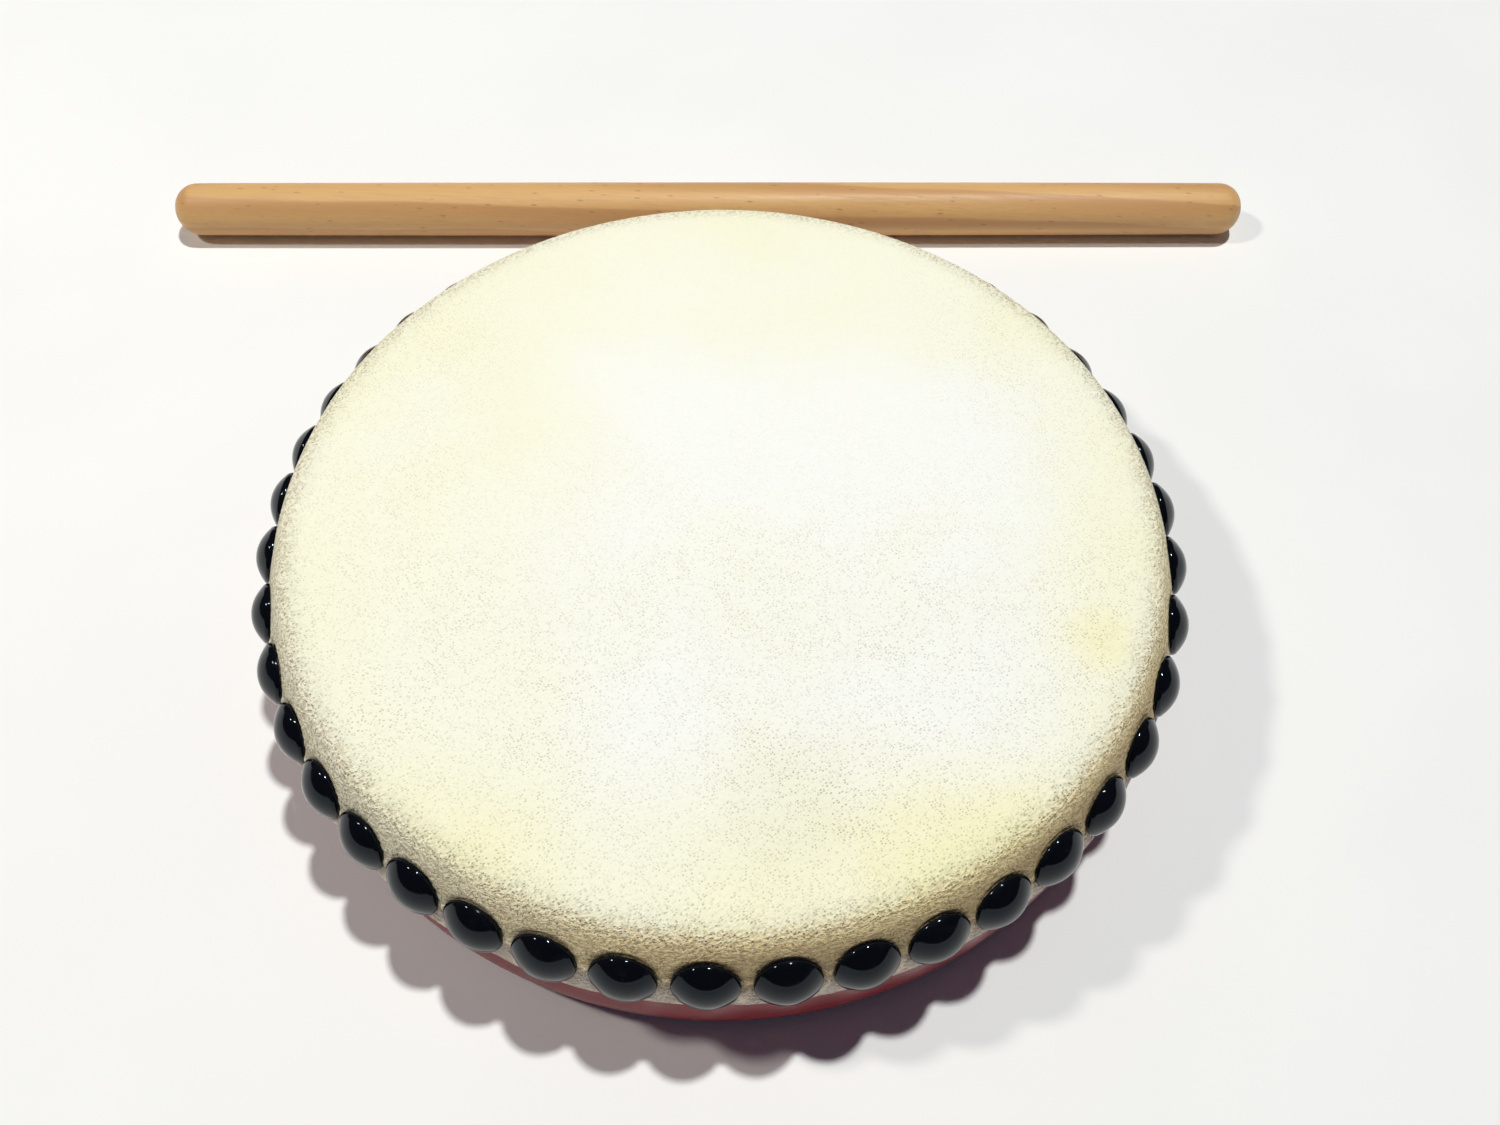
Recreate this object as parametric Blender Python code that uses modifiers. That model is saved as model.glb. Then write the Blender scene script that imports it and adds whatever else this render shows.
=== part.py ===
"""Okinawan hand drum with its stick: an open-backed wooden shell, one tacked hide, a ring of domed tacks.

Lengths are in metres and angles in degrees unless a name says otherwise. The world origin is the centre
of the playing face and +Z points out of it. The drum lies on its open back and the stick lies behind it
along X, so the plane that both rest on is one drum height below the origin.
"""
import math

import bmesh
import bpy
from mathutils import Matrix, Vector

# Overall size
DRUM_HEIGHT = 0.052
BELLY_RADIUS = 0.120

# Shell: in section the side is one barrel arc, which a soft shoulder and a tight crown turn over to the
# level bearing edge
BELLY_HEIGHT = 0.0196
SIDE_ARC_RADIUS = 0.064
SHOULDER_RADIUS = 0.0108
CROWN_RADIUS = 0.0013
CROWN_ANGLE = 40
SHELL_WALL = 0.013
RIM_ROUNDING = 0.0025
BEARING_INNER_ROUNDING = 0.007

# Hide: a flat playing face drawn over the bearing edge and down the side
HIDE_THICKNESS = 0.0015
HIDE_MARGIN = 0.001

# Tacks: a domed cap with a shallow cup under it, on a pointed shank
TACK_DROP = 0.0135
TACK_CAP_RADIUS = 0.0078
TACK_CAP_HEIGHT = 0.00435
TACK_CAP_GAP = 0.0021
TACK_CUP_DEPTH = 0.0014
TACK_SHANK_RADIUS = 0.0011
TACK_POINT_LENGTH = 0.0028
TACK_TIP_COVER = 0.003
DOME_FULLNESS = 2.96

# The row was set by eye: it strays from even spacing in slow waves, each with a number of waves in the
# whole row, a size and a phase
FIRST_TACK_ANGLE = 157.6
ROW_WAVES = ((1, 1.2, 63), (2, 0.3, -159), (5, 0.4, 99))

# Stick: a plain round rod with rounded ends, lying behind the drum
STICK_LENGTH = 0.3807
STICK_RADIUS = 0.0092
STICK_END_LENGTH = 0.0085
STICK_GAP = 0.0329
STICK_SIDESTEP = -0.0040

# Fit between neighbours
CLEARANCE = 0.0003

# Facets
ROUND_STEPS = 64
TACK_STEPS = 12
PILOT_STEPS = 8
STICK_STEPS = 24
MERGE_DISTANCE = 0.00001
SMOOTH_ANGLE = 32

# Finishes: colour, roughness, metallic
RED_LACQUER = ((0.235, 0.012, 0.018, 1.0), 0.28, 0.0)
RAWHIDE = ((0.86, 0.81, 0.66, 1.0), 0.62, 0.0)
BLACK_ENAMEL = ((0.006, 0.006, 0.008, 1.0), 0.10, 0.0)
BEECH = ((0.62, 0.36, 0.17, 1.0), 0.48, 0.0)

# Section geometry shared by the shell, the hide and the tacks, in (radius, height above the rim)
SIDE_CENTRE = Vector((BELLY_RADIUS - SIDE_ARC_RADIUS, BELLY_HEIGHT))
BEARING_HEIGHT = DRUM_HEIGHT - HIDE_THICKNESS - CLEARANCE
HIDE_OUTSIDE = CLEARANCE + HIDE_THICKNESS


def on_circle(centre, radius, angle):
    """The point of a section circle in the direction of angle."""
    turn = math.radians(angle)
    return centre + radius * Vector((math.cos(turn), math.sin(turn)))


def arc(centre, radius, start, end, steps):
    """Points along a section arc, both ends included."""
    return [on_circle(centre, radius, start + (end - start) * i / steps) for i in range(steps + 1)]


def direction(start, end):
    """The angle of the line from one section point to another."""
    return math.degrees(math.atan2(end.y - start.y, end.x - start.x))


def shoulder_centre():
    """The centre of the shoulder, which meets the side's arc below and the crown above smoothly."""
    crown_drop = (SHOULDER_RADIUS - CROWN_RADIUS) * math.sin(math.radians(CROWN_ANGLE))
    rise = BEARING_HEIGHT - CROWN_RADIUS - crown_drop - BELLY_HEIGHT
    reach = math.sqrt((SIDE_ARC_RADIUS - SHOULDER_RADIUS) ** 2 - rise ** 2)
    return SIDE_CENTRE + Vector((reach, rise))


def side_angle(height, offset):
    """The direction from SIDE_CENTRE in which the side, offset outwards, reaches a height."""
    return math.degrees(math.asin((height - BELLY_HEIGHT) / (SIDE_ARC_RADIUS + offset)))


SHOULDER_CENTRE = shoulder_centre()
SHOULDER_ANGLE = direction(SIDE_CENTRE, SHOULDER_CENTRE)
CROWN_CENTRE = on_circle(SHOULDER_CENTRE, SHOULDER_RADIUS - CROWN_RADIUS, CROWN_ANGLE)
TACK_ANGLE = side_angle(DRUM_HEIGHT - TACK_DROP, HIDE_OUTSIDE)
HIDE_EDGE_HEIGHT = (DRUM_HEIGHT - TACK_DROP - HIDE_MARGIN
                    - TACK_CAP_RADIUS * math.cos(math.radians(TACK_ANGLE)))
HIDE_EDGE_ANGLE = side_angle(HIDE_EDGE_HEIGHT, HIDE_OUTSIDE)


def clear_scene():
    for obj in list(bpy.data.objects):
        bpy.data.objects.remove(obj, do_unlink=True)


def new_collection(name):
    collection = bpy.data.collections.new(name)
    bpy.context.scene.collection.children.link(collection)
    return collection


def new_material(name, finish):
    colour, roughness, metallic = finish
    material = bpy.data.materials.new(name)
    material.use_nodes = True
    material.diffuse_color = colour
    shader = material.node_tree.nodes["Principled BSDF"]
    shader.inputs["Base Color"].default_value = colour
    shader.inputs["Roughness"].default_value = roughness
    shader.inputs["Metallic"].default_value = metallic
    return material


def turned(name, profile, steps, closed=False):
    """An object whose section, points of (radius, height), is turned once round Z."""
    count = len(profile)
    mesh = bpy.data.meshes.new(name)
    edges = [(i, (i + 1) % count) for i in range(count if closed else count - 1)]
    mesh.from_pydata([(point.x, 0.0, point.y) for point in profile], edges, [])
    obj = bpy.data.objects.new(name, mesh)
    screw = obj.modifiers.new("turn", "SCREW")
    screw.steps = steps
    screw.render_steps = steps
    screw.use_merge_vertices = True
    screw.merge_threshold = MERGE_DISTANCE
    return obj


def drill(obj, cutter):
    """Cut the cutter's shape out of an object."""
    hole = obj.modifiers.new("pilot_holes", "BOOLEAN")
    hole.operation = "DIFFERENCE"
    hole.object = cutter


def finished_mesh(obj, name):
    """The object's mesh with its modifiers applied, smooth apart from its real edges."""
    bpy.context.view_layer.update()
    evaluated = obj.evaluated_get(bpy.context.evaluated_depsgraph_get())
    mesh = bpy.data.meshes.new_from_object(evaluated)
    mesh.name = name
    mesh.shade_smooth()
    mesh.set_sharp_from_angle(angle=math.radians(SMOOTH_ANGLE))
    return mesh


def place(name, mesh, material, parent, matrix=Matrix.Identity(4)):
    """A named part of the drum, placed by a matrix in its parent's space."""
    if not mesh.materials:
        mesh.materials.append(material)
    part = bpy.data.objects.new(name, mesh)
    part.parent = parent
    part.matrix_basis = matrix
    return part


def fillet_to_side(height, radius, inside):
    """The centre of a rounding that meets a level face and the outer or the inner side of the wall.

    height is the height of the rounding's centre. Outside, the rounding lies within the side's arc, and
    inside, it lies beyond the inner wall's arc.
    """
    reach = SIDE_ARC_RADIUS - SHELL_WALL + radius if inside else SIDE_ARC_RADIUS - radius
    rise = height - BELLY_HEIGHT
    return SIDE_CENTRE + Vector((math.sqrt(reach ** 2 - rise ** 2), rise))


def over_the_edge(offset):
    """The section from the level face over crown and shoulder to the hide's edge, offset off the wood."""
    points = arc(CROWN_CENTRE, CROWN_RADIUS + offset, 90, CROWN_ANGLE, 3)
    points += arc(SHOULDER_CENTRE, SHOULDER_RADIUS + offset, CROWN_ANGLE, SHOULDER_ANGLE, 2)[1:]
    points += arc(SIDE_CENTRE, SIDE_ARC_RADIUS + offset, SHOULDER_ANGLE, HIDE_EDGE_ANGLE, 3)[1:]
    return points


def shell_profile():
    """The wall's section: over the bearing edge, down the side, round the rim and up the inside."""
    inner_radius = SIDE_ARC_RADIUS - SHELL_WALL
    rim_rounding = min(RIM_ROUNDING, 0.4 * SHELL_WALL)
    rise = BEARING_HEIGHT - BELLY_HEIGHT
    reach = CROWN_CENTRE.x - SIDE_CENTRE.x
    bearing_limit = (reach ** 2 + rise ** 2 - inner_radius ** 2) / (2 * (inner_radius + rise))
    bearing_rounding = min(BEARING_INNER_ROUNDING, 0.9 * bearing_limit)

    rim_outer = fillet_to_side(rim_rounding, rim_rounding, inside=False)
    rim_inner = fillet_to_side(rim_rounding, rim_rounding, inside=True)
    bearing_inner = fillet_to_side(BEARING_HEIGHT - bearing_rounding, bearing_rounding, inside=True)
    low_angle = direction(SIDE_CENTRE, rim_outer)
    inner_low = direction(SIDE_CENTRE, rim_inner)
    inner_high = direction(SIDE_CENTRE, bearing_inner)

    profile = over_the_edge(0)
    profile += arc(SIDE_CENTRE, SIDE_ARC_RADIUS, HIDE_EDGE_ANGLE, low_angle, 3)[1:]
    profile += arc(rim_outer, rim_rounding, low_angle, -90, 2)[1:]
    profile += arc(rim_inner, rim_rounding, -90, inner_low - 180, 2)
    profile += arc(SIDE_CENTRE, inner_radius, inner_low, inner_high, 4)[1:]
    profile += arc(bearing_inner, bearing_rounding, inner_high + 180, 90, 2)[1:]
    return profile


def hide_profile():
    """The hide's section: out along the playing face, over the edge, down the side, and back inside."""
    profile = [Vector((0, DRUM_HEIGHT))]
    profile += over_the_edge(HIDE_OUTSIDE)
    profile += reversed(over_the_edge(CLEARANCE))
    profile.append(Vector((0, DRUM_HEIGHT - HIDE_THICKNESS)))
    return profile


def tack_seat_height():
    """How far the cap's lip stands off the plane that touches the hide at the tack's centre.

    The hide falls away from that plane all round, least along the row, so the lip can come closer.
    """
    row_radius = on_circle(SIDE_CENTRE, SIDE_ARC_RADIUS + HIDE_OUTSIDE, TACK_ANGLE).x
    flattest = row_radius / math.cos(math.radians(TACK_ANGLE))
    return CLEARANCE - TACK_CAP_RADIUS ** 2 / (2 * flattest)


def tack_shank_length():
    """From the cap's lip to the tip, which stops short of the inside of the shell."""
    return tack_seat_height() + HIDE_OUTSIDE + SHELL_WALL - TACK_TIP_COVER


def tack_profile():
    """The tack's section, with the lip of the cap at height 0: dome, cup, shank and point."""
    profile = [Vector((0, TACK_CAP_HEIGHT))]
    for i in range(1, 5):
        share = math.sin(math.radians(90) * i / 4)
        profile.append(Vector((TACK_CAP_RADIUS * share, TACK_CAP_HEIGHT * (1 - share ** DOME_FULLNESS))))
    length = tack_shank_length()
    profile.append(Vector((TACK_SHANK_RADIUS, TACK_CUP_DEPTH)))
    profile.append(Vector((TACK_SHANK_RADIUS, TACK_POINT_LENGTH - length)))
    profile.append(Vector((0, -length)))
    return profile


def row_turn(step):
    """A tack's angle round the drum, where even spacing from the first tack would turn it by step."""
    strays = [size * math.cos(waves * step + math.radians(phase)) for waves, size, phase in ROW_WAVES]
    return math.radians(FIRST_TACK_ANGLE + sum(strays)) + step


def tack_matrices():
    """The place of each tack: its lip at the hide, its dome pointing square out of the leaning side."""
    seat = on_circle(SIDE_CENTRE, SIDE_ARC_RADIUS + HIDE_OUTSIDE + tack_seat_height(), TACK_ANGLE)
    count = int(math.tau * seat.x / (2 * TACK_CAP_RADIUS + TACK_CAP_GAP))
    tilt = Matrix.Rotation(math.radians(90 - TACK_ANGLE), 4, "Y")
    matrices = []
    for i in range(count):
        around = Matrix.Rotation(row_turn(math.tau * i / count), 4, "Z")
        matrices.append(around @ Matrix.Translation((seat.x, 0, seat.y)) @ tilt)
    return matrices


def pilot_hole_cutter(matrices, collection, parent):
    """One cylinder for each tack's shank, from above the hide to just past the tip."""
    depth = tack_shank_length() + CLEARANCE
    overshoot = TACK_CUP_DEPTH
    middle = Matrix.Translation((0, 0, (overshoot - depth) / 2))
    shape = bmesh.new()
    for matrix in matrices:
        bmesh.ops.create_cone(
            shape, cap_ends=True, segments=PILOT_STEPS, radius1=TACK_SHANK_RADIUS + CLEARANCE,
            radius2=TACK_SHANK_RADIUS + CLEARANCE, depth=depth + overshoot, matrix=matrix @ middle)
    mesh = bpy.data.meshes.new("pilot_holes")
    shape.to_mesh(mesh)
    shape.free()
    cutter = bpy.data.objects.new("pilot_holes", mesh)
    cutter.parent = parent
    cutter.hide_render = True
    cutter.display_type = "WIRE"
    collection.objects.link(cutter)
    return cutter


def stick_profile():
    """The stick's section along its length: a straight rod between two rounded ends."""
    straight = STICK_LENGTH / 2 - STICK_END_LENGTH
    end = [Vector((STICK_RADIUS * math.sin(math.radians(90) * i / 4),
                   straight + STICK_END_LENGTH * math.cos(math.radians(90) * i / 4))) for i in range(5)]
    return end + [Vector((point.x, -point.y)) for point in reversed(end)]


def build_drilled(name, profile, closed, cutter, workbench):
    """The finished mesh of a turned piece with the pilot holes through it."""
    blank = turned(name + "_blank", profile, ROUND_STEPS, closed)
    blank.parent = cutter.parent
    workbench.objects.link(blank)
    drill(blank, cutter)
    mesh = finished_mesh(blank, name)
    bpy.data.objects.remove(blank)
    return mesh


def build_plain(name, profile, steps, workbench):
    """The finished mesh of a turned piece."""
    blank = turned(name + "_blank", profile, steps)
    workbench.objects.link(blank)
    mesh = finished_mesh(blank, name)
    bpy.data.objects.remove(blank)
    return mesh


def main():
    clear_scene()
    drum = new_collection("okinawan_hand_drum")
    cutters = new_collection("cutters")

    rest_plane = bpy.data.objects.new("rest_plane", None)
    rest_plane.location = (0, 0, -DRUM_HEIGHT)
    drum.objects.link(rest_plane)

    matrices = tack_matrices()
    cutter = pilot_hole_cutter(matrices, cutters, rest_plane)

    shell_mesh = build_drilled("shell", shell_profile(), True, cutter, cutters)
    hide_mesh = build_drilled("drumhead", hide_profile(), False, cutter, cutters)
    tack_mesh = build_plain("tack", tack_profile(), TACK_STEPS, cutters)
    stick_mesh = build_plain("stick", stick_profile(), STICK_STEPS, cutters)

    parts = [
        place("shell", shell_mesh, new_material("red_lacquered_wood", RED_LACQUER), rest_plane),
        place("drumhead", hide_mesh, new_material("rawhide", RAWHIDE), rest_plane),
    ]
    enamel = new_material("black_enamelled_iron", BLACK_ENAMEL)
    for number, matrix in enumerate(matrices, start=1):
        parts.append(place(f"tack_{number:02d}", tack_mesh, enamel, rest_plane, matrix))

    stick_place = Matrix.Translation((STICK_SIDESTEP, BELLY_RADIUS + STICK_GAP + STICK_RADIUS, STICK_RADIUS))
    along_x = Matrix.Rotation(math.radians(90), 4, "Y")
    beech = new_material("oiled_beech", BEECH)
    parts.append(place("stick", stick_mesh, beech, rest_plane, stick_place @ along_x))

    for part in parts:
        drum.objects.link(part)
    print(f"{len(parts)} parts, {len(matrices)} of them tacks")


main()
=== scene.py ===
# %% [markdown]
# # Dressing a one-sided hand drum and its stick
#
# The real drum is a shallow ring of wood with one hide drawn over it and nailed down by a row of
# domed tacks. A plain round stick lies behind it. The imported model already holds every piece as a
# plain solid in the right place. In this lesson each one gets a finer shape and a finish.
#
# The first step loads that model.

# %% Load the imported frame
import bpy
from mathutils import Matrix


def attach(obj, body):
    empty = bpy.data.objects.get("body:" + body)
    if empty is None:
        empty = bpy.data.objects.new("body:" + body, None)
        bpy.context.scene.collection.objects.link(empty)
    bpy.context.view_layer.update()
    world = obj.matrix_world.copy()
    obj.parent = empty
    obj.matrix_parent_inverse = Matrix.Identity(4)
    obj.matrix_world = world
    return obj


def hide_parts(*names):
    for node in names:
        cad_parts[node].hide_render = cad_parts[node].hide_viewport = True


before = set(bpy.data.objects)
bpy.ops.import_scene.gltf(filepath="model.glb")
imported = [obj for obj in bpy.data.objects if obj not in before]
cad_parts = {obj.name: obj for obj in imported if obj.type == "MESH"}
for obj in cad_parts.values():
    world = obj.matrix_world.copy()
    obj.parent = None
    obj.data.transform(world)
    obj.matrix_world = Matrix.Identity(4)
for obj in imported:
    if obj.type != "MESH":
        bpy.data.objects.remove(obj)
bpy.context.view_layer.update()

# %% [markdown]
# ## The camera
#
# A camera can be matched to a photograph by eye, by trying angles. Here the drum is a known circle at
# a known height, so its place was worked out from the outlines instead. It looks steeply down from
# the front with a wide lens, which makes the near tacks large and the far ones hide behind the head.
#
# Its three axes are built one after the other: where it looks, what is right, what is up, and then
# the small roll of the hand that held it.

# %% The camera
import math
import random

import bpy
from mathutils import Matrix, Vector

LOOKS_RIGHT = math.radians(1.686)
LOOKS_DOWN = math.radians(56.593)
LEANS = math.radians(1.116)
FOCAL_PIXELS = 1257.1
IMAGE_WIDTH = 1500

ahead = Vector((math.sin(LOOKS_RIGHT) * math.cos(LOOKS_DOWN),
                math.cos(LOOKS_RIGHT) * math.cos(LOOKS_DOWN), -math.sin(LOOKS_DOWN)))
level = Vector((math.cos(LOOKS_RIGHT), -math.sin(LOOKS_RIGHT), 0))
upward = level.cross(ahead)
right = level * math.cos(LEANS) + upward * math.sin(LEANS)
up = upward * math.cos(LEANS) - level * math.sin(LEANS)

bpy.ops.object.select_all(action="DESELECT")
bpy.ops.object.camera_add()
camera = bpy.context.object
camera.name = "camera"
turn = Matrix((right, up, -ahead)).transposed().to_4x4()
camera.matrix_world = Matrix.Translation((0.00175, -0.19227, 0.26416)) @ turn
camera.data.sensor_fit = "HORIZONTAL"
camera.data.sensor_width = 36
camera.data.lens = 36 * FOCAL_PIXELS / IMAGE_WIDTH
camera.data.clip_start = 0.01
bpy.context.scene.camera = camera
print("lens in mm:", round(camera.data.lens, 2))

# %% [markdown]
# ## The section drawing
#
# A turned thing is easiest to draw as a section: half of it, cut through the middle. The shell, the
# hide and the tacks share one drawing. The side is a single arc, like a barrel's. At the top a soft
# shoulder and a tight crown, two smaller arcs, turn it over onto the level playing face. The hide
# follows all three at an even distance.
#
# Heights are above the plane that the drum lies on, and the playing face is at height 0.052.

# %% The section drawing
DRUM_HEIGHT = 0.052
BELLY_RADIUS = 0.120
BELLY_HEIGHT = 0.0196
SIDE_RADIUS = 0.064
SHOULDER_RADIUS = 0.0108
CROWN_RADIUS = 0.0013
CROWN_ANGLE = 40
WALL = 0.013
HIDE_THICKNESS = 0.0015
GAP = 0.0003


def on_circle(centre, radius, angle):
    """The point of a section circle in the direction of an angle in degrees."""
    return centre + radius * Vector((math.cos(math.radians(angle)), math.sin(math.radians(angle))))


def arc(centre, radius, start, end, steps):
    """Points along a section arc, both ends included."""
    return [on_circle(centre, radius, start + (end - start) * i / steps) for i in range(steps + 1)]


def angle_to(start, end):
    """The direction from one section point to another, in degrees."""
    return math.degrees(math.atan2(end.y - start.y, end.x - start.x))


side_centre = Vector((BELLY_RADIUS - SIDE_RADIUS, BELLY_HEIGHT))
bearing_height = DRUM_HEIGHT - HIDE_THICKNESS - GAP
hide_outside = GAP + HIDE_THICKNESS

crown_drop = (SHOULDER_RADIUS - CROWN_RADIUS) * math.sin(math.radians(CROWN_ANGLE))
shoulder_rise = bearing_height - CROWN_RADIUS - crown_drop - BELLY_HEIGHT
shoulder_reach = math.sqrt((SIDE_RADIUS - SHOULDER_RADIUS) ** 2 - shoulder_rise ** 2)
shoulder_centre = side_centre + Vector((shoulder_reach, shoulder_rise))
shoulder_angle = angle_to(side_centre, shoulder_centre)
crown_centre = on_circle(shoulder_centre, SHOULDER_RADIUS - CROWN_RADIUS, CROWN_ANGLE)


def over_the_top(offset, crown_steps, shoulder_steps):
    """Section points over the crown and the shoulder, moved out from the wood by an offset."""
    crown = arc(crown_centre, CROWN_RADIUS + offset, 90, CROWN_ANGLE, crown_steps)
    return crown + arc(shoulder_centre, SHOULDER_RADIUS + offset, CROWN_ANGLE, shoulder_angle, shoulder_steps)[1:]


print("level out to", round(1000 * crown_centre.x, 1), "mm; the side begins at", round(shoulder_angle, 1), "degrees")

# %% [markdown]
# ## Two lathe tools
#
# In edit mode a single vertex can be pulled out into a line, one extrude for each point of the
# section. Spinning that line once round an axis gives the turned shape. Where the spin meets itself,
# and where the line touches the axis, vertices lie on top of each other, so they are merged. Only
# then are the normals made to face outwards.
#
# A new plane merged to its centre is the usual way to get that first vertex.

# %% Two lathe tools
def draw_line(name, points):
    """Pull one vertex along the points, and stay in edit mode."""
    bpy.ops.object.select_all(action="DESELECT")
    bpy.ops.mesh.primitive_plane_add(size=0.01, enter_editmode=True, location=(0, 0, 0))
    piece = bpy.context.object
    piece.name = name
    piece.data.name = name
    bpy.ops.mesh.select_all(action="SELECT")
    bpy.ops.mesh.merge(type="CENTER")
    bpy.ops.transform.translate(value=points[0])
    for before, after in zip(points, points[1:]):
        bpy.ops.mesh.extrude_region_move(TRANSFORM_OT_translate={"value": after - before})
    return piece


def spin_round(piece, centre, axis, steps):
    """Turn the drawn line once round an axis, and close its seam and its poles."""
    bpy.ops.mesh.select_all(action="SELECT")
    bpy.ops.mesh.spin(steps=steps, angle=math.tau, center=centre, axis=axis)
    bpy.ops.mesh.select_all(action="SELECT")
    bpy.ops.mesh.remove_doubles(threshold=0.000002)
    bpy.ops.mesh.normals_make_consistent(inside=False)
    bpy.ops.object.mode_set(mode="OBJECT")
    bpy.ops.object.shade_smooth_by_angle(angle=math.radians(40))
    print(piece.name, "has", len(piece.data.polygons), "faces")


def upright(section):
    """Section points of (radius, height) as places in the drum's frame."""
    return [Vector((point.x, 0, point.y - DRUM_HEIGHT)) for point in section]


# %% [markdown]
# ## The shell
#
# The shell is wood, lacquered outside and bare inside. It could be a tube with a bevel, but its
# barrel curve and its kinds of rounding are easier to draw. The line runs over the crown under the
# hide, down the outside, round the rim and up the inside, and ends where it began. Two shallow
# grooves near the rim are what the turning tool leaves inside.

# %% Draw and turn the shell
RIM_ROUNDING = 0.0025
BEARING_ROUNDING = 0.007


def corner(height, rounding, inside):
    """The centre of a rounding between a level face and the outer or the inner side."""
    reach = SIDE_RADIUS - WALL + rounding if inside else SIDE_RADIUS - rounding
    rise = height - BELLY_HEIGHT
    return side_centre + Vector((math.sqrt(reach ** 2 - rise ** 2), rise))


rim_outer = corner(RIM_ROUNDING, RIM_ROUNDING, inside=False)
rim_inner = corner(RIM_ROUNDING, RIM_ROUNDING, inside=True)
bearing_inner = corner(bearing_height - BEARING_ROUNDING, BEARING_ROUNDING, inside=True)
rim_low = angle_to(side_centre, rim_outer)
inner_low = angle_to(side_centre, rim_inner)
inner_high = angle_to(side_centre, bearing_inner)

shell_section = over_the_top(0, 6, 4)
shell_section += arc(side_centre, SIDE_RADIUS, shoulder_angle, rim_low, 24)[1:]
shell_section += arc(rim_outer, RIM_ROUNDING, rim_low, -90, 7)[1:]
shell_section += arc(rim_inner, RIM_ROUNDING, -90, inner_low - 180, 7)
inner_wall = arc(side_centre, SIDE_RADIUS - WALL, inner_low, inner_high, 40)[1:]
for low_groove in (6, 10):
    inner_wall[low_groove].x += 0.0004
shell_section += inner_wall
shell_section += arc(bearing_inner, BEARING_ROUNDING, inner_high + 180, 90, 9)[1:]
shell_section.append(shell_section[0].copy())

shell = draw_line("shell_turned", upright(shell_section))
spin_round(shell, (0, 0, 0), (0, 0, 1), 256)

# %% [markdown]
# ## The hide
#
# Rawhide is stretched wet and dries hard as wood, so it is a thin solid and not a cloth. Its section
# goes out along the face, over the shoulder and down the side, turns round the cut edge and comes
# back 1.5 mm further in. The points lie closer together where the tacks pull at it, because the next
# step needs them there.

# %% Draw and turn the hide
TACK_DROP = 0.0135
TACK_RADIUS = 0.0078
EDGE_BELOW_TACK = 0.001


def angle_at(height, offset):
    """Where the side, moved out by an offset, reaches a height."""
    return math.degrees(math.asin((height - BELLY_HEIGHT) / (SIDE_RADIUS + offset)))


tack_height = DRUM_HEIGHT - TACK_DROP
tack_angle = angle_at(tack_height, hide_outside)
edge_height = tack_height - EDGE_BELOW_TACK - TACK_RADIUS * math.cos(math.radians(tack_angle))
edge_angle = angle_at(edge_height, hide_outside)

face_radii = (0, 0.012, 0.026, 0.040, 0.054, 0.066, 0.077, 0.087, 0.095, 0.101, 0.106, 0.109)
hide_section = [Vector((radius, DRUM_HEIGHT)) for radius in face_radii]
hide_section += over_the_top(hide_outside, 9, 5)
hide_section += arc(side_centre, SIDE_RADIUS + hide_outside, shoulder_angle, edge_angle + 0.3, 38)[1:]
edge_middle = on_circle(side_centre, SIDE_RADIUS + GAP + HIDE_THICKNESS / 2, edge_angle + 0.5)
hide_section += arc(edge_middle, HIDE_THICKNESS / 2, edge_angle - 20, edge_angle - 160, 5)
hide_section += arc(side_centre, SIDE_RADIUS + GAP, edge_angle + 0.3, shoulder_angle, 20)
hide_section += list(reversed(over_the_top(GAP, 9, 5)))[1:]
hide_section += [Vector((radius, DRUM_HEIGHT - HIDE_THICKNESS)) for radius in reversed(face_radii)]

HIDE_STEPS = 588
hide = draw_line("hide", upright(hide_section))
spin_round(hide, (0, 0, 0), (0, 0, 1), HIDE_STEPS)

# %% [markdown]
# ## Where the tacks are
#
# The maker marked the row by eye. Going round, it strays from even spacing in slow waves, each with a
# number of waves in the row, a size and a phase. The same rule gives the place of each tack and,
# turned round, the tack that a point of the hide is nearest to. Both are needed: one to set the
# tacks, one to pucker the hide between them.

# %% Where the tacks are
TACKS = 42
FIRST_TACK = math.radians(157.6)
ROW_WAVES = ((1, 1.2, 63), (2, 0.3, -159), (5, 0.4, 99))


def strays(step):
    """How far the row is ahead of even spacing, a turn of step after the first tack."""
    return math.radians(sum(size * math.cos(waves * step + math.radians(phase)) for waves, size, phase in ROW_WAVES))


def tack_turn(number):
    """The direction of a tack round the drum."""
    step = math.tau * number / TACKS
    return FIRST_TACK + step + strays(step)


def past_nearest(x, y):
    """How far a point is past its nearest tack, from -0.5 to 0.5 of the space between two."""
    around = math.atan2(y, x) - FIRST_TACK
    step = around - strays(around - strays(around))
    return (step * TACKS / math.tau + 0.5) % 1 - 0.5


print(TACKS, "tacks,", round(360 / TACKS, 2), "degrees apart")

# %% [markdown]
# ## Tension in the hide
#
# Four small irregularities show that this is skin under load. Each tack was driven home until its
# edge bit in, which leaves a round dent. A fine crease runs from tack to tack, where the skin is held
# down on both sides and lifts between. The strip below the tacks was never pulled, so it curls a
# little away from the wood. Its cut edge was trimmed by hand and wanders.
#
# Each one is a vertex group, whose weights say how much a point takes part, and a Displace modifier
# that reads it. A clouds texture makes the curl and the cut uneven.

# %% Tension in the hide
def weigh(piece, name, weight_at):
    """A vertex group whose weights come from each point's place."""
    group = piece.vertex_groups.new(name=name)
    for vertex in piece.data.vertices:
        weight = weight_at(vertex.co)
        if weight > 0.01:
            group.add([vertex.index], min(weight, 1), "REPLACE")


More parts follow.
